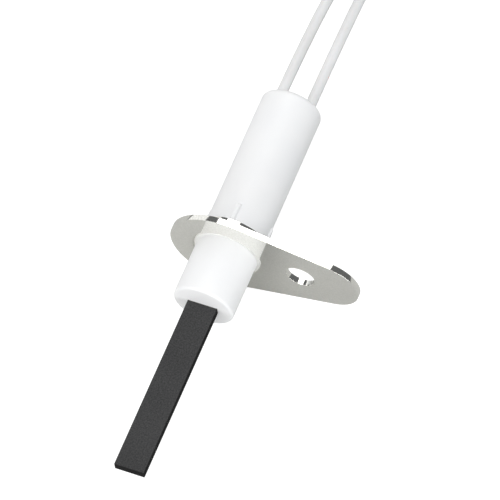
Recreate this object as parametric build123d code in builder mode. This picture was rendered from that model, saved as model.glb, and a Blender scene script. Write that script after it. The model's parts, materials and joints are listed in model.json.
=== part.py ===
"""Hot-surface ignition electrode: a flat ceramic heater blade in a round ceramic holder,
with a teardrop mounting flange and two insulated leads that end in a small plug.

Millimetres. The holder's axis is Y: the blade points to -Y and the leads run to +Y.
+X points to the flange's ear and +Z is the normal of the blade's flat face. The origin is
where the axis meets the flange's mounting face, the one on the blade's side.
"""
import os
from math import cos, pi, radians, sin, sqrt, tan

from build123d import *

os.makedirs("parts", exist_ok=True)

# ---- driving dimensions ------------------------------------------------------------
body_r = 6.0            # ceramic holder, outside
body_front = -11.8      # its blade end
body_rear = 34.0        # its lead end
front_round = 0.6       # rounding of the outer edge at the blade end
rear_round = 1.1        # rounding of the outer edge at the lead end
web = 8.0               # solid ceramic in front of the cavity
cavity_r = 4.4

blade_w = 5.9
blade_t = 1.8
blade_tip = -48.1
blade_root = 8.0
slot_gap = 0.1          # room for cement round the blade in its slot

plate_t = 1.2
plate_r = 11.3          # the flange's big end, round the holder
ear_r = 6.8             # the flange's small end
ear_x = 19.6            # distance between the centres of the two ends
screw_x = 14.8
screw_r = 2.9

collar_wall = 0.55
collar_in = 6.4         # inside radius of the drawn collar
collar_top = 3.9
collar_bend = 0.8       # radius of the bend where the collar is drawn from the plate

rib_w = 0.94            # four ribs on the holder that wedge it in the collar
rib_top = collar_in - 0.03
rib_start = collar_bend + 0.55
rib_end = 8.0
rib_chamfer = 0.35      # how far each rib's lead end slopes
rib_sunk = 0.3          # how deep each rib's root is sunk into the holder

lead_d = 2.1
lead_x = 3.1            # each lead's distance from the axis where it leaves the holder
core_d = 1.0            # the bare conductor
lead_start = 24.0       # where the insulation begins, inside the holder

# ---- sizes worked out from those ---------------------------------------------------
cavity_front = body_front + web
floor_z = -plate_r                  # the surface that the flange's rim rests on
lead_floor = floor_z + lead_d / 2   # centre of a lead that lies on that surface


def section(y):
    """The plane across the axis at y, with X to the right and Z up.

    Its normal is -Y, so extrude takes a negative amount to run towards the leads."""
    return Plane.XZ.offset(-y)


def bend(corner_to_centre, radius, centre):
    """The middle point of a quarter bend, for a three-point arc."""
    dx, dy = corner_to_centre
    return (centre[0] - dx * radius / sqrt(2), centre[1] - dy * radius / sqrt(2))


def save(piece, label):
    piece.label = label
    export_step(piece, f"parts/{label}.step")


# ---- ceramic holder ----------------------------------------------------------------
# A pressed and fired tube with a thick front web. The blade's slot goes through the web,
# and a shallow groove holds the cement that locks the collar on.
groove_front = -0.15
groove_rear = 3.4
groove_r = body_r - 0.2


def rib_plane(angle):
    """A plane along the axis, whose first direction is +Y and second points outwards."""
    return Plane(origin=(0, 0, 0), x_dir=(0, 1, 0), z_dir=(sin(angle), 0, -cos(angle)))


with BuildPart() as ceramic_body:
    with BuildSketch(Plane.XY):
        with BuildLine():
            Polyline(
                (0, body_front),
                (body_r, body_front),
                (body_r, groove_front),
                (groove_r, groove_front),
                (groove_r, groove_rear),
                (body_r, groove_rear),
                (body_r, body_rear),
                (cavity_r, body_rear),
                (cavity_r, cavity_front),
                (0, cavity_front),
                close=True,
            )
        make_face()
    revolve(axis=Axis.Y)
    rims = ceramic_body.edges().filter_by(GeomType.CIRCLE).group_by(Axis.Y)
    fillet(rims[0], radius=front_round)
    rear_rim = ceramic_body.edges().filter_by(GeomType.CIRCLE).group_by(Axis.Y)[-1]
    fillet(rear_rim.sort_by(SortBy.RADIUS)[-1], radius=rear_round)
    for quarter in range(4):
        with BuildSketch(rib_plane(quarter * pi / 2)):
            with BuildLine():
                Polyline(
                    (rib_start, groove_r - rib_sunk),
                    (rib_start, rib_top),
                    (rib_end - rib_chamfer, rib_top),
                    (rib_end, body_r),
                    (rib_end, groove_r - rib_sunk),
                    close=True,
                )
            make_face()
        extrude(amount=rib_w / 2, both=True)
    with BuildSketch(section(body_front)):
        Rectangle(blade_w + 2 * slot_gap, blade_t + 2 * slot_gap)
    extrude(amount=-web, mode=Mode.SUBTRACT)
save(ceramic_body.part, "ceramic_body")

# ---- heater ------------------------------------------------------------------------
# The conductor is a flat U inside the blade. Two short posts bring its ends up to the
# contact pads on the blade's root.
track_w = 0.8
track_t = 0.4
track_x = 1.9
track_tip = blade_tip + 3.0
post_y = 5.6
pad_t = 0.15
pad_w = 1.7
pad_l = 4.0

with BuildPart() as heater_track:
    with BuildSketch(Plane.XY.offset(-track_t / 2)):
        with Locations((0, (track_tip + post_y) / 2)):
            Rectangle(2 * track_x + track_w, post_y - track_tip)
        with Locations((0, (track_tip + track_w + post_y) / 2)):
            Rectangle(2 * track_x - track_w, post_y - track_tip - track_w, mode=Mode.SUBTRACT)
    extrude(amount=track_t)
    with BuildSketch(Plane.XY):
        with Locations((-track_x, post_y - track_w / 2), (track_x, post_y - track_w / 2)):
            Rectangle(track_w, track_w)
    extrude(amount=blade_t / 2)
save(heater_track.part, "heater_track")

with BuildPart() as heater_blade:
    with BuildSketch(section(blade_root)):
        Rectangle(blade_w, blade_t)
    extrude(amount=blade_root - blade_tip)
    add(heater_track.part, mode=Mode.SUBTRACT)
save(heater_blade.part, "heater_blade")

for side, name in ((-1, "left"), (1, "right")):
    with BuildPart() as contact_pad:
        with BuildSketch(Plane.XY.offset(blade_t / 2)):
            with Locations((side * track_x, post_y - track_w / 2)):
                Rectangle(pad_w, pad_l)
        extrude(amount=pad_t)
    save(contact_pad.part, f"contact_pad_{name}")

# ---- connections inside the holder -------------------------------------------------
# A bent strap is brazed to each pad. Its narrow tail and the lead's bare end share a
# crimp sleeve.
strap_t = 0.3
strap_low = blade_t / 2 + pad_t
lug_front = post_y - track_w / 2 - pad_l / 2 + 0.2
lug_rear = blade_root + 0.8
lug_inner = track_x - pad_w / 2      # the lug's edge nearer the axis
tail_w = 0.7
lug_outer = lead_x + tail_w / 2
slope_l = 4.8                        # length of the tail's slope down to the lead
tail_rear = 21.2
tail_top = -core_d / 2
sleeve_front = 17.6
sleeve_l = 4.6
sleeve_in = 0.9
sleeve_out = 1.2

for side, name in ((-1, "left"), (1, "right")):
    with BuildPart() as terminal_strap:
        with BuildSketch(Plane.XY.offset(strap_low)):
            with Locations((side * (lug_inner + lug_outer) / 2, (lug_front + lug_rear) / 2)):
                Rectangle(lug_outer - lug_inner, lug_rear - lug_front)
        extrude(amount=strap_t)
        with BuildSketch(Plane.YZ.offset(side * lead_x)):
            with BuildLine():
                Polyline(
                    (lug_rear - 0.4, strap_low),
                    (lug_rear - 0.4 + slope_l, tail_top - strap_t),
                    (tail_rear, tail_top - strap_t),
                    (tail_rear, tail_top),
                    (lug_rear - 0.3 + slope_l, tail_top),
                    (lug_rear - 0.3, strap_low + strap_t),
                    close=True,
                )
            make_face()
        extrude(amount=tail_w / 2, both=True)
    save(terminal_strap.part, f"terminal_strap_{name}")

    with BuildPart() as crimp_sleeve:
        with BuildSketch(section(sleeve_front)):
            with Locations((side * lead_x, 0)):
                Circle(sleeve_out)
                Circle(sleeve_in, mode=Mode.SUBTRACT)
        extrude(amount=-sleeve_l)
    save(crimp_sleeve.part, f"crimp_sleeve_{name}")

    with BuildPart() as conductor_end:
        with BuildSketch(section(sleeve_front + 0.2)):
            with Locations((side * lead_x, 0)):
                Circle(core_d / 2)
        extrude(amount=-(lead_start - sleeve_front - 0.2))
    save(conductor_end.part, f"conductor_end_{name}")

# ---- cement and seal ---------------------------------------------------------------
# Cement fills the gap round the blade in its slot, and a plug of it holds the blade's root.
cement_rear = 3.0
seal_front = 28.0
seal_rear = body_rear - 0.6

with BuildPart() as blade_cement:
    with BuildSketch(section(body_front)):
        Rectangle(blade_w + 2 * slot_gap, blade_t + 2 * slot_gap)
    extrude(amount=-web)
    with BuildSketch(section(cavity_front)):
        Circle(cavity_r)
    extrude(amount=-(cement_rear - cavity_front))
    with BuildSketch(section(body_front)):
        Rectangle(blade_w, blade_t)
    extrude(amount=-(cement_rear - body_front), mode=Mode.SUBTRACT)
save(blade_cement.part, "blade_cement")

with BuildPart() as lead_seal:
    with BuildSketch(section(seal_front)):
        Circle(cavity_r)
        with Locations((-lead_x, 0), (lead_x, 0)):
            Circle(lead_d / 2, mode=Mode.SUBTRACT)
    extrude(amount=-(seal_rear - seal_front))
save(lead_seal.part, "lead_seal")

# ---- mounting flange ---------------------------------------------------------------
# Stamped steel: a teardrop plate with one screw hole, and a thin collar drawn out of it
# towards the leads.
collar_out = collar_in + collar_wall
hub_r = collar_out + 1.2
entry_centre = (collar_in + collar_bend, collar_bend)
foot_round = 0.35
foot_centre = (collar_out + foot_round, plate_t + foot_round)

with BuildPart() as flange_plate:
    with BuildSketch(section(0)):
        Circle(plate_r)
        with Locations((ear_x, 0)):
            Circle(ear_r)
        make_hull()
        with Locations((screw_x, 0)):
            Circle(screw_r, mode=Mode.SUBTRACT)
        Circle(hub_r, mode=Mode.SUBTRACT)
    extrude(amount=-plate_t)
    with BuildSketch(Plane.XY):
        with BuildLine():
            ThreePointArc(
                (entry_centre[0], 0),
                bend((1, 1), collar_bend, entry_centre),
                (collar_in, entry_centre[1]),
            )
            Polyline(
                (collar_in, entry_centre[1]),
                (collar_in, collar_top),
                (collar_out, collar_top),
                (collar_out, foot_centre[1]),
            )
            ThreePointArc(
                (collar_out, foot_centre[1]),
                bend((1, 1), foot_round, foot_centre),
                (foot_centre[0], plate_t),
            )
            Polyline((foot_centre[0], plate_t), (hub_r, plate_t), (hub_r, 0), (entry_centre[0], 0))
        make_face()
    revolve(axis=Axis.Y)
save(flange_plate.part, "flange_plate")

# ---- cement in the collar ----------------------------------------------------------
# White cement fills the groove and the gap to the collar, between the ribs, up to the bend.
collar_cement_front = 0.25

with BuildPart() as collar_cement:
    with BuildSketch(section(collar_cement_front)):
        Circle(collar_in + collar_bend / 2)
        Circle(groove_r, mode=Mode.SUBTRACT)
    extrude(amount=-(groove_rear - collar_cement_front))
    add(flange_plate.part, mode=Mode.SUBTRACT)
    add(ceramic_body.part, mode=Mode.SUBTRACT)
save(collar_cement.part, "collar_cement")

# ---- leads -------------------------------------------------------------------------
# Each lead leaves the seal straight, droops to the surface, makes two turns in a round
# coil, and ends in the plug. The left lead winds outside the right one.
coil_turns = 2
coil_x = 11.1
coil_y = 88.0
coil_gap = 2.2                        # between the two leads' centres in the coil
tie_t = 0.5
tie_gap = 0.12
coil_lift = tie_t + tie_gap + 0.03    # the coil lies on its tie
coil_r = {"left": coil_x + coil_gap / 2, "right": coil_x - coil_gap / 2}
coil_low = lead_floor + coil_lift
coil_high = coil_low + coil_turns * lead_d

plug_front = 110.0
plug_l = 14.0
plug_w = 10.4
plug_h = 7.0
pole_x = 2.0
pole_z = floor_z + plug_h / 2
cavity_w = 3.2
terminal_start = plug_front + 2.0

lead_route = {
    "left": [
        (-lead_x, lead_start, 0),
        (-lead_x, 61.0, 0),
        (-2.0, 75.5, coil_low - 0.3),
        (-1.1, 85.5, coil_low),
    ],
    "right": [
        (lead_x, lead_start, 0),
        (lead_x, 61.0, 0),
        (2.0, 75.5, coil_low - 0.3),
        (1.1, 85.5, coil_low),
    ],
}
tail_route = {
    "left": [
        (-1.1, 89.0, coil_high),
        (-1.2, 98.0, coil_high - 0.4),
        (-pole_x, 106.0, pole_z),
        (-pole_x, terminal_start, pole_z),
    ],
    "right": [
        (1.1, 89.0, coil_high),
        (1.2, 98.0, coil_high - 0.4),
        (pole_x, 106.0, pole_z),
        (pole_x, terminal_start, pole_z),
    ],
}


def bend_radii(points):
    """For each corner, 0.45 of its shorter run over the tangent of half its turn."""
    radii = []
    for before, corner, after in zip(points, points[1:], points[2:]):
        run_in = Vector(corner) - Vector(before)
        run_out = Vector(after) - Vector(corner)
        half_turn = radians(run_in.get_angle(run_out)) / 2
        radii.append(0.45 * min(run_in.length, run_out.length) / tan(half_turn))
    return radii


def lead_tube(points, label):
    """A round tube along straight runs joined by tangent arcs; prints its bends."""
    radii = bend_radii(points)
    with BuildPart() as tube:
        with BuildLine() as path:
            FilletPolyline(*points, radius=radii)
        start = Vector(points[0])
        with BuildSketch(Plane(origin=start, z_dir=Vector(points[1]) - start)):
            Circle(lead_d / 2)
        sweep(path=path.wires()[0])
    length = path.wires()[0].length
    filled = tube.part.volume / (length * pi * lead_d**2 / 4)
    print(label, "length", round(length, 1), "volume ratio", round(filled, 4))
    print("   bend radii", [round(r, 1) for r in radii])
    return tube.part


sides = ("left", "right")
leads = [lead_tube(lead_route[name], f"lead_wire_{name}") for name in sides]
tails = [lead_tube(tail_route[name], f"lead_tail_{name}") for name in sides]
for name, lead, tail in zip(sides, leads, tails):
    save(lead, f"lead_wire_{name}")
    save(tail, f"lead_tail_{name}")
    with BuildPart() as coil:
        with BuildSketch(Plane.XY.offset(coil_low - lead_d / 2)):
            with Locations((coil_x, coil_y)):
                Circle(coil_r[name] + lead_d / 2)
                Circle(coil_r[name] - lead_d / 2, mode=Mode.SUBTRACT)
        extrude(amount=(coil_turns + 1) * lead_d)
        add(leads + tails, mode=Mode.SUBTRACT)
    save(coil.part, f"lead_coil_{name}")
    print(f"lead_coil_{name} length", round(coil_turns * 2 * pi * coil_r[name], 1))

# ---- coil tie ----------------------------------------------------------------------
# A flat plastic strap round the coil's far side, with its square head on the outside.
tie_w = 2.6
bundle_w = coil_gap + lead_d
bundle_h = (coil_turns + 1) * lead_d
bundle_z = coil_low - lead_d / 2 + bundle_h / 2
tie_y = coil_y + coil_x
head_t = 2.2
head_w = 3.6
head_h = 3.4

with BuildPart() as coil_tie:
    with BuildSketch(Plane.YZ.offset(coil_x - tie_w / 2)):
        with Locations((tie_y, bundle_z)):
            RectangleRounded(bundle_w + 2 * (tie_gap + tie_t), bundle_h + 2 * (tie_gap + tie_t), 0.6)
            Rectangle(bundle_w + 2 * tie_gap, bundle_h + 2 * tie_gap, mode=Mode.SUBTRACT)
    extrude(amount=tie_w)
    with BuildSketch(section(tie_y + bundle_w / 2 + tie_gap + tie_t)):
        with Locations((coil_x, bundle_z)):
            Rectangle(head_w, head_h)
    extrude(amount=-head_t)
save(coil_tie.part, "coil_tie")

# ---- plug --------------------------------------------------------------------------
# A moulded two-pole housing with a polarising rib, and a box terminal in each cavity.
plug_rib = 1.6                # the polarising rib's width, half of which is sunk in the top
plug_rib_front = 4.0
plug_rib_l = 9.0

with BuildPart() as plug_housing:
    with BuildSketch(section(plug_front)):
        with Locations((0, pole_z)):
            RectangleRounded(plug_w, plug_h, 0.8)
        with Locations((-pole_x, pole_z), (pole_x, pole_z)):
            Rectangle(cavity_w, cavity_w, mode=Mode.SUBTRACT)
    extrude(amount=-plug_l)
    with BuildSketch(section(plug_front + plug_rib_front)):
        with Locations((0, pole_z + plug_h / 2)):
            Rectangle(plug_rib, plug_rib)
    extrude(amount=-plug_rib_l)
save(plug_housing.part, "plug_housing")

terminal_w = 2.6
terminal_l = 9.0
terminal_wall = 0.3
socket_l = 7.0
for side, name in ((-1, "left"), (1, "right")):
    with BuildPart() as plug_terminal:
        with BuildSketch(section(terminal_start)):
            with Locations((side * pole_x, pole_z)):
                Rectangle(terminal_w, terminal_w)
        extrude(amount=-terminal_l)
        with BuildSketch(section(terminal_start + terminal_l - socket_l)):
            with Locations((side * pole_x, pole_z)):
                Rectangle(terminal_w - 2 * terminal_wall, terminal_w - 2 * terminal_wall)
        extrude(amount=-socket_l, mode=Mode.SUBTRACT)
    save(plug_terminal.part, f"plug_terminal_{name}")
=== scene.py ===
"""Looks of a hot-surface ignition electrode, built round its CAD frame.

Metres, in the frame's own axes: the blade points to -Y, the leads run to +Y, +X goes to the
flange's ear and +Z is the normal of the blade's flat face.
"""
import json
from math import acos, cos, hypot, pi, radians, sin

import bmesh
import bpy
from mathutils import Matrix, Vector


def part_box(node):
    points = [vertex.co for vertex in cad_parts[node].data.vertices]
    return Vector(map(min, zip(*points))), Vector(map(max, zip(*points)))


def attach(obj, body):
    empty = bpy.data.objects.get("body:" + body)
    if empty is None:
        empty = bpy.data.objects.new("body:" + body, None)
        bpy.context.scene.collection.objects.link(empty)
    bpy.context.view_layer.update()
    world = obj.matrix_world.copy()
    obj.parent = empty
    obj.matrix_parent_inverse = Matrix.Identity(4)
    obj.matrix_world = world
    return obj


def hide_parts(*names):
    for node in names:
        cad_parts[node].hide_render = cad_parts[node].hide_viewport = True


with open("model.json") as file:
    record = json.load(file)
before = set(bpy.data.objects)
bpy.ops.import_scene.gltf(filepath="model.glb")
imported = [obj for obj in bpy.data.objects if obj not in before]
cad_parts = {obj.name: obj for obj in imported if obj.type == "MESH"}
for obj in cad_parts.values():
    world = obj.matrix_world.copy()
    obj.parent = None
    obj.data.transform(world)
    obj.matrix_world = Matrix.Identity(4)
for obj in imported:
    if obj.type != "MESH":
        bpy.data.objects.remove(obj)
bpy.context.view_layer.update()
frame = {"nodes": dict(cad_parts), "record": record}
scene = bpy.context.scene
mm = 0.001

# ---- camera ------------------------------------------------------------------------
# It stands above and in front of the blade's tip, turned a little to the right. The lens is
# long, so that parallel edges stay nearly parallel.
camera_right = Vector((0.9264, 0.3683, -0.0777)).normalized()
camera_up = Vector((-0.2871, 0.8249, 0.4870)).normalized()
camera_back = camera_right.cross(camera_up).normalized()
camera_aim = Vector((3.86, 2.26, 0.03)) * mm
camera_distance = 1175 * mm
seen_width = 93.25 * mm

camera = bpy.data.objects.new("camera", bpy.data.cameras.new("camera"))
scene.collection.objects.link(camera)
camera.data.sensor_width = 36
camera.data.lens = camera.data.sensor_width * camera_distance / seen_width
camera.data.clip_end = 20
camera.matrix_world = Matrix.Translation(camera_aim + camera_back * camera_distance) @ Matrix(
    (camera_right, camera_up, camera_back)
).transposed().to_4x4()
scene.camera = camera

# ---- leads -------------------------------------------------------------------------
# Two stranded copper leads in smooth white silicone insulation. They leave the holder
# straight, droop to the surface and lie in one tied coil of two turns each.


class Shade:
    """One socket of a material's nodes. Arithmetic on it adds Math nodes."""

    def __init__(self, tree, socket):
        self.tree = tree
        self.socket = socket

    def node(self, kind, inputs, out=0, **settings):
        """Adds a node of any kind: its settings first, then its sockets' values or links."""
        made = self.tree.nodes.new(kind)
        for key, value in settings.items():
            setattr(made, key, value)
        for key, value in inputs.items():
            if isinstance(value, Shade):
                self.tree.links.new(value.socket, made.inputs[key])
            else:
                made.inputs[key].default_value = value
        return Shade(self.tree, made.outputs[out])

    def maths(self, operation, first, second):
        return self.node("ShaderNodeMath", {0: first, 1: second}, operation=operation)

    def __add__(self, other):
        return self.maths("ADD", self, other)

    __radd__ = __add__

    def __sub__(self, other):
        return self.maths("SUBTRACT", self, other)

    def __rsub__(self, other):
        return self.maths("SUBTRACT", other, self)

    def __mul__(self, other):
        return self.maths("MULTIPLY", self, other)

    __rmul__ = __mul__

    def step(self, low, high):
        """0 below low, 1 above high, and smooth between."""
        sockets = {"Value": self, "From Min": low, "From Max": high}
        return self.node("ShaderNodeMapRange", sockets, interpolation_type="SMOOTHSTEP")

    def blend(self, first, second):
        """The first colour where this is 0, the second where it is 1."""
        sockets = {0: self, 6: (*first, 1), 7: (*second, 1)}
        return self.node("ShaderNodeMix", sockets, out=2, data_type="RGBA")

    def noise(self, size, detail=3, roughness=0.5, seed=0):
        """Noise of about that size, from 0 to 1, on these coordinates."""
        sockets = {"Vector": self, "W": seed, "Scale": 1 / size, "Detail": detail, "Roughness": roughness}
        return self.node("ShaderNodeTexNoise", sockets, noise_dimensions="4D")

    def bump(self, height):
        """A surface normal raised by this height, which is in metres."""
        return self.node("ShaderNodeBump", {"Height": self * height, "Distance": 1, "Strength": 1})


def new_finish(name):
    """An empty material and its Object coordinates."""
    material = bpy.data.materials.new(name)
    material.use_nodes = True
    where = material.node_tree.nodes.new("ShaderNodeTexCoord")
    return material, Shade(material.node_tree, where.outputs["Object"])


def surface(material, **sockets):
    """Sets the shader's sockets: a link for what varies, a plain value for the rest."""
    shader = material.node_tree.nodes["Principled BSDF"]
    for key, value in sockets.items():
        socket = shader.inputs[key.replace("_", " ")]
        if isinstance(value, Shade):
            material.node_tree.links.new(value.socket, socket)
        else:
            socket.default_value = (*value, 1) if socket.type == "RGBA" else value


lead_insulation, at = new_finish("lead_insulation")
chalk = at.noise(6 * mm, seed=1).step(0.35, 0.7)
surface(
    lead_insulation,
    Base_Color=chalk.blend((0.79, 0.79, 0.79), (0.74, 0.74, 0.735)),
    Roughness=0.42 + 0.12 * at.noise(1.2 * mm, seed=2),
    Normal=at.noise(0.5 * mm, detail=5, seed=3).bump(0.012 * mm),
    Specular_IOR_Level=0.45,
    Subsurface_Weight=0.1,
    Subsurface_Radius=(0.6, 0.5, 0.4),
    Subsurface_Scale=1 * mm,
)

lead_x = 3.1
lead_d = 2.1 * mm
coil_centre = Vector((11.1, 88.0, 0)) * mm
coil_turns = 2
points_per_turn = 16
coil_low = -9.6 * mm
leads = {}
for name, side, coil_r in (("left", -1, 12.2 * mm), ("right", 1, 10.0 * mm)):
    route = [
        (side * lead_x, 24.0, 0),
        (side * lead_x, 61.0, 0),
        (side * 2.0, 75.5, -9.9),
        (side * 1.15, 83.5, -9.6),
    ]
    points = [Vector(p) * mm for p in route]
    control_r = coil_r / (0.75 + 0.25 * cos(2 * pi / points_per_turn))
    for i in range(coil_turns * points_per_turn + 1):
        turned = i / points_per_turn
        angle = pi - 2 * pi * turned
        around = Vector((cos(angle), sin(angle), 0)) * control_r
        points.append(coil_centre + around + Vector((0, 0, coil_low + lead_d * turned)))
    tail = [(side * 1.2, 98.0, -5.8), (side * 2.0, 106.0, -7.8), (side * 2.0, 112.0, -7.8)]
    points += [Vector(p) * mm for p in tail]
    line = bpy.data.curves.new(f"lead_{name}", "CURVE")
    line.dimensions = "3D"
    spline = line.splines.new("NURBS")
    spline.points.add(len(points) - 1)
    for control, place in zip(spline.points, points):
        control.co = (*place, 1)
    spline.order_u = 3
    spline.use_endpoint_u = True
    spline.resolution_u = 10
    line.bevel_depth = lead_d / 2
    line.bevel_resolution = 7
    line.use_fill_caps = True
    line.materials.append(lead_insulation)
    leads[name] = bpy.data.objects.new(f"lead_{name}", line)
    scene.collection.objects.link(leads[name])
    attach(leads[name], "root")
    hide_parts(f"lead_wire_{name}", f"lead_coil_{name}", f"lead_tail_{name}")

# ---- ceramic holder ----------------------------------------------------------------
# A pressed and fired white ceramic tube with a closed front end, a slot for the blade and
# four ribs that wedge it in the flange's collar. The surface is smooth and nearly matte.


def arc(centre, radius, start, end, steps=6):
    """Points of an arc in a section drawn as distance from the axis and place along it."""
    angles = [radians(start + (end - start) * i / steps) for i in range(steps + 1)]
    return [(centre[0] + radius * cos(a), centre[1] + radius * sin(a)) for a in angles]


def spun(bm, section, steps=144, closed=True):
    """Spins a section, in millimetres, round the Y axis."""
    ring = [bm.verts.new((r * mm, y * mm, 0)) for r, y in section]
    pairs = list(zip(ring, ring[1:])) + ([(ring[-1], ring[0])] if closed else [])
    edges = [bm.edges.new(pair) for pair in pairs]
    bmesh.ops.spin(
        bm, geom=ring + edges, cent=(0, 0, 0), axis=(0, 1, 0), angle=2 * pi, steps=steps, use_merge=True
    )
    bmesh.ops.remove_doubles(bm, verts=bm.verts, dist=0.0005 * mm)


def new_piece(name, bm, material, crease=32):
    """Writes a bmesh to a new object, smooth except at edges sharper than the crease."""
    bmesh.ops.recalc_face_normals(bm, faces=bm.faces)
    mesh = bpy.data.meshes.new(name)
    bm.to_mesh(mesh)
    bm.free()
    mesh.shade_smooth()
    mesh.set_sharp_from_angle(angle=radians(crease))
    piece = bpy.data.objects.new(name, mesh)
    scene.collection.objects.link(piece)
    mesh.materials.append(material)
    return piece


def even_normals(piece):
    """Keeps large flat faces flat beside their rounded edges."""
    weighted = piece.modifiers.new("even_normals", "WEIGHTED_NORMAL")
    weighted.keep_sharp = True


def combine(piece, tool, operation):
    """Joins a tool to a piece, or cuts it out, and removes the tool."""
    cut = piece.modifiers.new("cut", "BOOLEAN")
    cut.object = tool
    cut.operation = operation
    cut.solver = "EXACT"
    seen = bpy.context.evaluated_depsgraph_get()
    mesh = bpy.data.meshes.new_from_object(piece.evaluated_get(seen))
    piece.modifiers.remove(cut)
    piece.data = mesh
    bpy.data.objects.remove(tool)
    mesh.shade_smooth()
    mesh.set_sharp_from_angle(angle=radians(32))


def block(bm, low, high, round_by=0, segments=3):
    """Adds a box between two corners, in millimetres, with its edges rounded."""
    low, high = Vector(low) * mm, Vector(high) * mm
    made = bmesh.ops.create_cube(bm, size=1)["verts"]
    bmesh.ops.scale(bm, vec=high - low, verts=made)
    bmesh.ops.translate(bm, vec=(low + high) / 2, verts=made)
    if round_by:
        edges = {edge for vert in made for edge in vert.link_edges}
        bmesh.ops.bevel(
            bm, geom=list(edges), offset=round_by * mm, offset_type="OFFSET", segments=segments,
            affect="EDGES", profile=0.5, material=-1,
        )


holder_ceramic, at = new_finish("holder_ceramic")
cloud = at.noise(9 * mm, detail=2, seed=4).step(0.3, 0.7)
surface(
    holder_ceramic,
    Base_Color=cloud.blend((0.885, 0.885, 0.885), (0.86, 0.863, 0.87)),
    Roughness=0.50 + 0.08 * at.noise(2.5 * mm, detail=1, seed=5),
    Normal=at.noise(0.35 * mm, detail=3, seed=6).bump(0.0035 * mm),
    Specular_IOR_Level=0.4,
)

body_r, body_front, body_rear = 6.0, -11.8, 34.0
cavity_r, cavity_front = 4.4, -3.8
front_round, rear_round, mouth_round = 0.6, 1.1, 0.25
bm = bmesh.new()
section = [(0, body_front)]
section += arc((body_r - front_round, body_front + front_round), front_round, -90, 0)
section += arc((body_r - rear_round, body_rear - rear_round), rear_round, 0, 90, steps=8)
section += arc((cavity_r + mouth_round, body_rear - mouth_round), mouth_round, 90, 180)
section += [(cavity_r, cavity_front), (0, cavity_front)]
spun(bm, section, closed=False)
ceramic_body = new_piece("holder", bm, holder_ceramic)

rib_root, rib_top, rib_start, rib_end = 5.6, 6.38, 1.35, 8.0
rib_foot, rib_crest, rib_slope, rib_round = 1.5, 0.72, 0.35, 0.16
crest_above = 5.8 * mm
bm = bmesh.new()
for _ in range(4):
    flank = [(rib_start, rib_root), (rib_start, rib_top), (rib_end - rib_slope, rib_top)]
    flank += [(rib_end, 5.95), (rib_end, rib_root)]
    corners = [bm.verts.new((-0.5 * mm, y * mm, r * mm)) for y, r in flank]
    side_face = bm.faces.new(corners)
    grown = bmesh.ops.extrude_face_region(bm, geom=[side_face])["geom"]
    far = [item for item in grown if isinstance(item, bmesh.types.BMVert)]
    bmesh.ops.translate(bm, vec=(1 * mm, 0, 0), verts=far)
    rib = corners + far
    for part, width in ((0, rib_foot), (1, rib_crest)):
        level = [vert for vert in rib if (vert.co.z > crest_above) == bool(part)]
        bmesh.ops.scale(bm, vec=(width, 1, 1), verts=level)
    top_edges = {
        edge for vert in rib for edge in vert.link_edges
        if all(end.co.z > crest_above for end in edge.verts)
    }
    bmesh.ops.bevel(
        bm, geom=list(top_edges), offset=rib_round * mm, offset_type="OFFSET", segments=4,
        affect="EDGES", profile=0.5, material=-1,
    )
    bmesh.ops.rotate(bm, cent=(0, 0, 0), matrix=Matrix.Rotation(pi / 2, 3, "Y"), verts=bm.verts)
ribs = new_piece("ribs", bm, holder_ceramic)
combine(ceramic_body, ribs, "UNION")
slot_w, slot_h, slot_front, slot_rear = 6.1, 2.0, -12.5, -3.0
bm = bmesh.new()
block(bm, (-slot_w / 2, slot_front, -slot_h / 2), (slot_w / 2, slot_rear, slot_h / 2))
combine(ceramic_body, new_piece("slot", bm, holder_ceramic), "DIFFERENCE")
even_normals(ceramic_body)
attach(ceramic_body, "root")
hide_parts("ceramic_body")

# ---- lead seal ---------------------------------------------------------------------
# White silicone cast into the holder's mouth. It climbs a little up the wall and up the
# leads before it sets.
seal_silicone, at = new_finish("seal_silicone")
surface(
    seal_silicone,
    Base_Color=at.noise(2 * mm, seed=22).blend((0.78, 0.78, 0.76), (0.72, 0.72, 0.70)),
    Roughness=0.4,
    Normal=at.noise(0.8 * mm, seed=23).bump(0.02 * mm),
)
seal_front, seal_wall = 28.0, 4.39
bm = bmesh.new()
climb = [(seal_wall, 33.85), (4.3, 33.6), (4.1, 33.42), (3.8, 33.32), (3.2, 33.27), (0, 33.25)]
section = [(0, seal_front), (seal_wall, seal_front)] + climb
spun(bm, section, closed=False)
seal = new_piece("seal", bm, seal_silicone, crease=50)


def rods(name, front, rear, front_r, rear_r, finish):
    """A round rod or cone round each lead, in millimetres."""
    bm = bmesh.new()
    for side in (-1, 1):
        stand = Matrix.Translation(Vector((side * lead_x, (front + rear) / 2, 0)) * mm)
        bmesh.ops.create_cone(
            bm, cap_ends=True, segments=48, radius1=rear_r * mm, radius2=front_r * mm,
            depth=(rear - front) * mm, matrix=stand @ Matrix.Rotation(pi / 2, 4, "X"),
        )
    return new_piece(name, bm, finish)


skirt_foot_r, skirt_top_r, bore_r = 1.75, 1.12, 1.06
combine(seal, rods("skirts", 33.0, 33.75, skirt_foot_r, skirt_top_r, seal_silicone), "UNION")
combine(seal, rods("bores", seal_front - 1, 35.0, bore_r, bore_r, seal_silicone), "DIFFERENCE")
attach(seal, "root")
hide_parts("lead_seal")

# ---- mounting flange ---------------------------------------------------------------
# A teardrop stamped from stainless sheet, with one screw hole. The collar is drawn out of
# the sheet towards the leads, so its mouth on the blade's side is a smooth bend.
plate_t, plate_r, ear_r, ear_x = 1.2, 11.3, 6.8, 19.6
screw_x, screw_r = 14.8, 2.9
collar_in, collar_out, collar_top = 6.4, 6.95, 3.9
entry_bend, foot_bend, edge_round, lip_round = 0.8, 0.35, 0.06, 0.12
hub_r = 8.6

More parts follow.
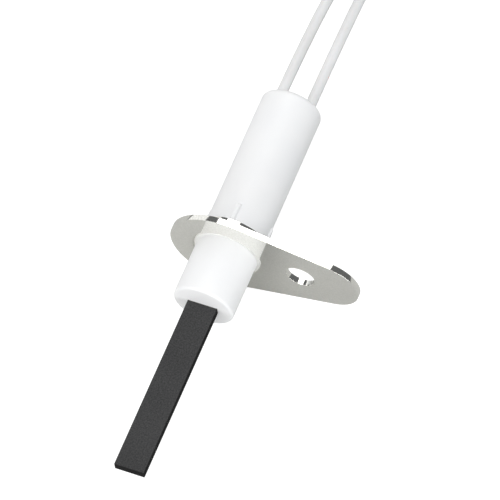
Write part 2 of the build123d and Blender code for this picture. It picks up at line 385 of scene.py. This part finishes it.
flange_steel, at = new_finish("flange_steel")
grain = at.noise(0.24 * mm, detail=2, roughness=0.6, seed=7)
haze = at.noise(6 * mm, detail=2, seed=8).step(0.3, 0.7)
speckle = (0.95 * grain + 0.05 * haze).step(0.32, 0.68)
surface(
    flange_steel,
    Base_Color=speckle.blend((0.85, 0.845, 0.80), (0.97, 0.963, 0.92)),
    Metallic=1.0,
    Roughness=0.05 + 0.07 * grain,
    Normal=grain.bump(0.0008 * mm),
)
tangent = acos((plate_r - ear_r) / ear_x)


def outline(grow):
    """Points of the plate's outer edge, grown or shrunk, in order."""
    big = [tangent + (2 * pi - 2 * tangent) * i / 120 for i in range(121)]
    small = [-tangent + 2 * tangent * i / 60 for i in range(61)]
    points = [((plate_r + grow) * cos(a), (plate_r + grow) * sin(a)) for a in big]
    return points + [(ear_x + (ear_r + grow) * cos(a), (ear_r + grow) * sin(a)) for a in small]


def ring(centre_x, radius, steps):
    """Points of a circle on the plate, in order."""
    turns = [2 * pi * i / steps for i in range(steps)]
    return [(centre_x + radius * cos(a), radius * sin(a)) for a in turns]


def wall(bm, loops):
    """Joins closed loops, each given as its points and its height, and returns the end loops."""
    made = []
    for points, height in loops:
        verts = [bm.verts.new((x * mm, height * mm, z * mm)) for x, z in points]
        made.append([bm.edges.new(pair) for pair in zip(verts, verts[1:] + verts[:1])])
    for lower, upper in zip(made, made[1:]):
        bmesh.ops.bridge_loops(bm, edges=lower + upper)
    return made[0], made[-1]


corner = arc((0, 0), edge_round, -90, 0, steps=4)
rounding = [(x - edge_round, y + edge_round) for x, y in corner]
rounding += [(x, plate_t - y) for x, y in reversed(rounding)]
bm = bmesh.new()
outer_low, outer_high = wall(bm, [(outline(grow), y) for grow, y in rounding])
hole_low, hole_high = wall(bm, [(ring(screw_x, screw_r - grow, 72), y) for grow, y in rounding])
section = [(hub_r, plate_t)]
section += arc((collar_out + foot_bend, plate_t + foot_bend), foot_bend, 270, 180)
section += arc((collar_out - lip_round, collar_top - lip_round), lip_round, 0, 90, steps=4)
section += arc((collar_in + lip_round, collar_top - lip_round), lip_round, 90, 180, steps=4)
section += arc((collar_in + entry_bend, entry_bend), entry_bend, 180, 270, steps=10)
section += [(hub_r, 0)]
spun(bm, section, closed=False)
on_hub = [
    edge for edge in bm.edges
    if edge.is_boundary
    and all(abs(hypot(vert.co.x, vert.co.z) - hub_r * mm) < 0.001 * mm for vert in edge.verts)
]
hub_low = [edge for edge in on_hub if edge.verts[0].co.y < plate_t / 2 * mm]
hub_high = [edge for edge in on_hub if edge.verts[0].co.y > plate_t / 2 * mm]
for loops in (outer_low + hole_low + hub_low, outer_high + hole_high + hub_high):
    bmesh.ops.triangle_fill(bm, edges=loops, use_beauty=True, use_dissolve=True, normal=(0, 1, 0))
bmesh.ops.remove_doubles(bm, verts=bm.verts, dist=0.0005 * mm)
flange = new_piece("flange", bm, flange_steel, crease=40)
even_normals(flange)
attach(flange, "root")
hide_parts("flange_plate")

# ---- cement in the collar ----------------------------------------------------------
# White ceramic cement, pushed into the gap between holder and collar and wiped off: it
# leaves a shallow bead between the holder and the collar's bend.
cement, at = new_finish("cement")
surface(
    cement,
    Base_Color=at.noise(0.5 * mm, detail=5, seed=20).blend((0.86, 0.86, 0.84), (0.80, 0.80, 0.78)),
    Roughness=0.7,
    Normal=at.noise(0.2 * mm, detail=4, seed=21).bump(0.008 * mm),
)
cement_in, cement_out, cement_rear = 5.98, collar_in + 0.02, 3.3
bead = [(cement_in, 0.27), (6.08, 0.36), (6.25, 0.41), (6.4, 0.41), (6.52, 0.37)]
bm = bmesh.new()
spun(bm, bead + [(cement_out, 0.85), (cement_out, cement_rear), (cement_in, cement_rear)])
collar_cement = new_piece("collar_bead", bm, cement)
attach(collar_cement, "root")
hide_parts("collar_cement")

# ---- heater blade ------------------------------------------------------------------
# A sintered silicon nitride bar, ground flat: dark grey, matte, with a fine even grain. Its
# heater track, pads and straps are inside the blade and the holder. Its side faces and tip end
# are painted much darker than its flat faces: painted shade.
low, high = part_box("heater_blade")
heater_ceramic, at = new_finish("heater_ceramic")
grain = at.noise(0.3 * mm, detail=3, roughness=0.7, seed=9)
cloud = at.noise(9 * mm, detail=1, seed=10)
across = at.node("ShaderNodeSeparateXYZ", {0: at})
across = at.maths("ABSOLUTE", across, 0)
# Painted shade: the side faces and the tip end face are darkened in colour, standing in for the light
# they miss.
painted_side_shade = across.step(high.x - 0.05 * mm, high.x)
along = at.node("ShaderNodeSeparateXYZ", {0: at}, out=1)
end = 1 - along.step(low.y, low.y + 0.05 * mm)
# The grain's own tone, times the painted shade on the side faces and the tip end.
grain_and_painted_shade = (0.85 * grain + 0.15 * cloud).step(-0.05, 1.05) * (1 - 0.95 * painted_side_shade) * (1 - 0.8 * end)
surface(
    heater_ceramic,
    Base_Color=grain_and_painted_shade.blend((0.003, 0.003, 0.003), (0.100, 0.100, 0.101)),
    Roughness=0.5 + 0.2 * grain,
    Normal=grain.bump(0.008 * mm),
    Specular_IOR_Level=0.05,
)
bm = bmesh.new()
block(bm, low / mm, high / mm, round_by=0.07)
blade = new_piece("blade", bm, heater_ceramic, crease=50)
even_normals(blade)
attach(blade, "root")
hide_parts("heater_blade")

# ---- plug --------------------------------------------------------------------------
# A moulded two-pole housing on the leads' ends, with a box terminal in each cavity.
plug_plastic, at = new_finish("plug_plastic")
surface(
    plug_plastic,
    Base_Color=at.noise(4 * mm, seed=11).blend((0.80, 0.79, 0.74), (0.74, 0.73, 0.68)),
    Roughness=0.38 + 0.12 * at.noise(0.8 * mm, seed=12),
    Normal=at.noise(0.25 * mm, detail=4, seed=13).bump(0.006 * mm),
)
plug_front, plug_rear, plug_low, plug_high, plug_half = 110.0, 124.0, -11.3, -4.3, 5.2
pole_x, pole_z, pole_half = 2.0, -7.8, 1.6
groove_count, groove_step, groove_w, groove_half = 5, 1.1, 0.5, 0.45
bm = bmesh.new()
block(
    bm, (-plug_half, plug_front, plug_low), (plug_half, plug_rear, plug_high), round_by=0.5, segments=4
)
plug = new_piece("plug_shell", bm, plug_plastic)
bm = bmesh.new()
block(bm, (-0.8, plug_front + 4, -5.0), (0.8, plug_rear - 1, -3.5), round_by=0.2)
combine(plug, new_piece("rib", bm, plug_plastic), "UNION")
bm = bmesh.new()
for pole in (-pole_x, pole_x):
    block(
        bm, (pole - pole_half, plug_front - 1, pole_z - pole_half),
        (pole + pole_half, plug_rear + 1, pole_z + pole_half),
    )
for side in (-1, 1):
    middle = side * 5.4
    for i in range(groove_count):
        groove = plug_front + 1.6 + groove_step * i
        block(
            bm, (middle - groove_half, groove, plug_low + 1),
            (middle + groove_half, groove + groove_w, plug_high - 1),
        )
combine(plug, new_piece("cavities", bm, plug_plastic), "DIFFERENCE")
even_normals(plug)
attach(plug, "root")
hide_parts("plug_housing")

# ---- coil tie ----------------------------------------------------------------------
# A natural nylon cable tie pulled round the coil's far side: a flat strap, a square head
# on the outside, and the strap's end cut off just past the head.
tie_plastic, at = new_finish("tie_plastic")
surface(
    tie_plastic,
    Base_Color=at.noise(2 * mm, seed=14).blend((0.78, 0.78, 0.74), (0.72, 0.72, 0.68)),
    Roughness=0.35 + 0.1 * at.noise(0.5 * mm, seed=15),
    Normal=at.noise(0.3 * mm, detail=3, seed=24).bump(0.004 * mm),
    Subsurface_Weight=0.2,
    Subsurface_Scale=1 * mm,
)
tie_low, tie_high = (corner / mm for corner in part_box("coil_tie"))
tie_z = (tie_low.z + tie_high.z) / 2
strap_t, strap_w, strap_l, strap_h = 0.5, 2.6, 5.54, tie_high.z - tie_low.z
strap_round, least_round = 0.9, 0.3
strap_y = tie_low.y + strap_l / 2


def hoop(shrink, steps=6):
    """The strap's outline, shrunk all round, in its own plane."""
    half_l, half_h = strap_l / 2 - shrink, strap_h / 2 - shrink
    corner_r = max(strap_round - shrink, least_round)
    points = []
    for turn, (way_l, way_h) in enumerate(((1, 1), (-1, 1), (-1, -1), (1, -1))):
        centre = (way_l * (half_l - corner_r), way_h * (half_h - corner_r))
        points += arc(centre, corner_r, 90 * turn, 90 * (turn + 1), steps)
    return points


flat, soft = strap_w / 2, 0.12
bm = bmesh.new()
rings = [(0, soft - flat), (0, flat - soft), (soft, flat), (strap_t - soft, flat), (strap_t, flat - soft)]
rings += [(strap_t, soft - flat), (strap_t - soft, -flat), (soft, -flat), (0, soft - flat)]
wall(bm, [(hoop(shrink), height) for shrink, height in rings])
bmesh.ops.remove_doubles(bm, verts=bm.verts, dist=0.001 * mm)
bmesh.ops.rotate(bm, cent=(0, 0, 0), matrix=Matrix.Rotation(pi / 2, 3, "Z"), verts=bm.verts)
bmesh.ops.translate(bm, vec=Vector((coil_centre.x / mm, strap_y, tie_z)) * mm, verts=bm.verts)
tie = new_piece("tie", bm, tie_plastic)
head_front, head_rear = strap_y + strap_l / 2 - 0.2, tie_high.y
head_x = coil_centre.x / mm
bm = bmesh.new()
block(bm, (head_x - 1.8, head_front, tie_z - 1.7), (head_x + 1.8, head_rear, tie_z + 1.7), round_by=0.3)
combine(tie, new_piece("head", bm, tie_plastic), "UNION")
slot_y = head_front + 0.75
bm = bmesh.new()
block(bm, (head_x - 1.4, slot_y, tie_z - 2.5), (head_x + 1.4, slot_y + 0.85, tie_z + 2.5))
combine(tie, new_piece("head_slot", bm, tie_plastic), "DIFFERENCE")
bm = bmesh.new()
block(
    bm, (head_x - 1.25, slot_y - 0.1, tie_z - 1.2), (head_x + 1.25, slot_y + 0.5, tie_z + 2.5),
    round_by=0.08,
)
combine(tie, new_piece("cut_end", bm, tie_plastic), "UNION")
even_normals(tie)
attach(tie, "root")
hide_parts("coil_tie")

# ---- floor and light ---------------------------------------------------------------
# A plain white sheet that turns up into a wall far behind, and a pale grey table just under
# it. Only the camera sees the sheet: the table lights the object from below and shows in its
# metal, so that the steel keeps its tones.
floor_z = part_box("flange_plate")[0].z
floor_white, at = new_finish("floor_white")
surface(
    floor_white,
    Base_Color=(0.3, 0.3, 0.3),
    Roughness=1.0,
    Emission_Color=(1, 1, 1),
    Emission_Strength=0.9,
)
sheet_r, sheet_turn, sheet_top = 2600, 600, 4000
bm = bmesh.new()
section = [(0, 0)] + arc((sheet_r, sheet_turn), sheet_turn, -90, 0, steps=16)
section += [(sheet_r + sheet_turn, sheet_top)]
spun(bm, section, steps=64, closed=False)
bmesh.ops.rotate(bm, cent=(0, 0, 0), matrix=Matrix.Rotation(pi / 2, 3, "X"), verts=bm.verts)
bmesh.ops.translate(bm, vec=(0, 0, floor_z - 0.02 * mm), verts=bm.verts)
sheet = new_piece("floor", bm, floor_white)
sheet.visible_glossy = False
sheet.visible_diffuse = False
sheet.visible_shadow = False

floor_grey, at = new_finish("floor_grey")
surface(floor_grey, Base_Color=(0.52, 0.52, 0.51), Roughness=1.0, Specular_IOR_Level=0.0)
bm = bmesh.new()
bmesh.ops.create_grid(bm, x_segments=1, y_segments=1, size=2.5)
bmesh.ops.translate(bm, vec=(0, 0, floor_z - 0.1 * mm), verts=bm.verts)
new_piece("table", bm, floor_grey)

world = bpy.data.worlds.new("studio")
scene.world = world
world.use_nodes = True
world.node_tree.nodes["Background"].inputs["Color"].default_value = (0.96, 0.98, 1.0, 1)
world.node_tree.nodes["Background"].inputs["Strength"].default_value = 0.135


def softbox(name, direction, distance, width, height, power, colour=(1, 1, 1)):
    """A rectangular light that faces the origin from a direction; its height runs along Y."""
    light = bpy.data.lights.new(name, "AREA")
    light.shape = "RECTANGLE"
    light.size = width
    light.size_y = height
    light.energy = power
    light.color = colour
    lamp = bpy.data.objects.new(name, light)
    scene.collection.objects.link(lamp)
    back = Vector(direction).normalized()
    right = Vector((0, 1, 0)).cross(back).normalized()
    lamp.matrix_world = Matrix.Translation(back * distance) @ Matrix(
        (right, back.cross(right), back)
    ).transposed().to_4x4()


softbox("overhead", (-0.085, 0.3, 0.94), 1.2, 0.79, 2.4, 13.6)
softbox("left", (-0.8, -0.15, 0.33), 1.2, 0.95, 3.2, 8)
softbox("front", (-0.42, -0.62, 0.66), 1.5, 1.1, 0.9, 3)
softbox("low_front", (-0.1, -0.95, 0.25), 1.5, 0.9, 0.6, 6.5)
softbox("low_right", (0.36, -0.93, 0.03), 1.5, 0.5, 0.5, 7)
softbox("right", (0.88, -0.2, 0.38), 1.5, 1.0, 0.7, 10.2, colour=(0.96, 0.98, 1.0))
scene.view_settings.view_transform = "Standard"

# ---- inner metal parts -------------------------------------------------------------
# The heater track, the plated straps and sleeves, the bare conductor ends and the cement
# round the blade keep their CAD shapes.
terminal_metal, at = new_finish("terminal_metal")
surface(
    terminal_metal,
    Base_Color=at.noise(1 * mm, seed=16).blend((0.70, 0.68, 0.63), (0.62, 0.60, 0.56)),
    Metallic=1.0,
    Roughness=0.25 + 0.15 * at.noise(0.4 * mm, seed=17),
)
heater_conductor, at = new_finish("heater_conductor")
surface(
    heater_conductor,
    Base_Color=at.noise(0.5 * mm, seed=18).blend((0.20, 0.20, 0.20), (0.26, 0.25, 0.25)),
    Metallic=0.8,
    Roughness=0.55,
)
conductor, at = new_finish("conductor")
surface(
    conductor,
    Base_Color=at.noise(0.5 * mm, seed=19).blend((0.72, 0.62, 0.52), (0.66, 0.57, 0.50)),
    Metallic=1.0,
    Roughness=0.35,
)
finishes = {
    "terminal_metal": terminal_metal,
    "heater_conductor": heater_conductor,
    "conductor": conductor,
    "cement": cement,
}
for subpart in frame["record"]["subparts"]:
    if subpart["material_slot"] in finishes:
        node = frame["nodes"][subpart["node"]]
        node.data.materials.clear()
        node.data.materials.append(finishes[subpart["material_slot"]])
